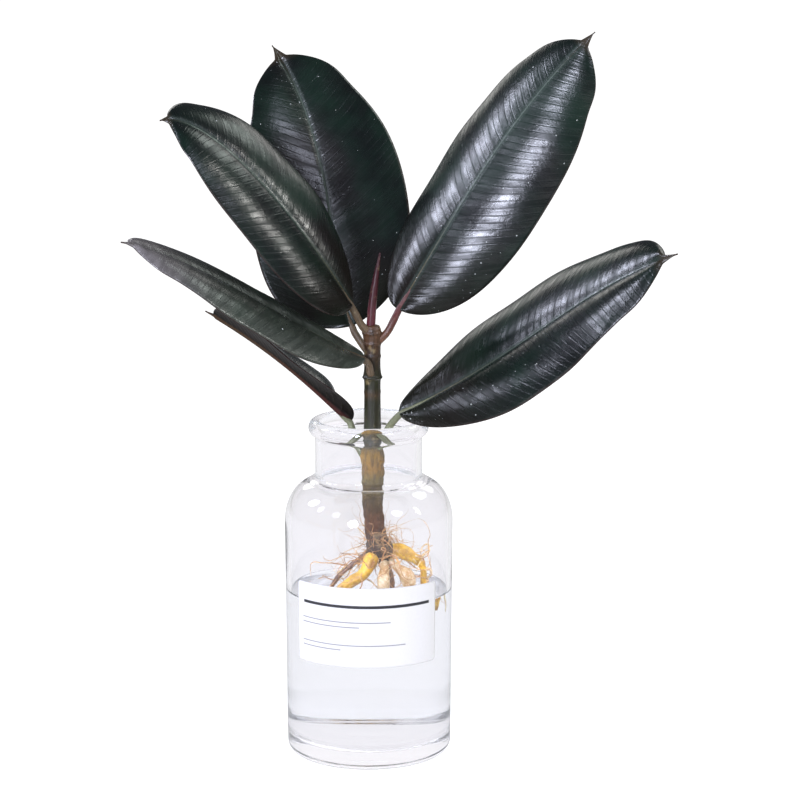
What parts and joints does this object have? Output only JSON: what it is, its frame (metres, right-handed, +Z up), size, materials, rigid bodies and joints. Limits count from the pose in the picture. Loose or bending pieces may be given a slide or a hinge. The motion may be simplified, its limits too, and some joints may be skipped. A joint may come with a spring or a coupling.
{
  "type": "rubber plant in a glass vase",
  "caption": "Leafy rubber plant cutting rooted in water, standing in a clear short-necked glass vase with a plain paper label.",
  "frame": {"origin": "centre of the vase's flat foot, on the surface it stands on", "axes": "+Z up along the vase; +X to the plant's right and +Y to its back as seen facing the label"},
  "size_m": [0.2682, 0.1635, 0.3717],
  "materials": {
    "vase_glass": "gloss",
    "water": "gloss",
    "label_paper": "matte",
    "stem_bark": "matte",
    "red_sheath": "satin",
    "yellow_root": "satin",
    "cream_root": "satin",
    "brown_root": "matte",
    "leaf_skin": "satin"
  },
  "bodies": {
    "root": {"glass_vase": "vase_glass", "water": "water", "label": "label_paper", "stem": "stem_bark", "growing_tip_sheath": "red_sheath", "root_brown_left": "brown_root", "root_yellow_left": "yellow_root", "root_cream_front": "cream_root", "root_yellow_right": "yellow_root", "root_cream_right": "cream_root", "root_tan_back": "brown_root", "leaf_upper_right": "leaf_skin", "leaf_back": "leaf_skin", "leaf_upper_left": "leaf_skin", "leaf_middle_left": "leaf_skin", "leaf_lower_left": "leaf_skin", "leaf_lower_right": "leaf_skin"}
  },
  "joints": []
}
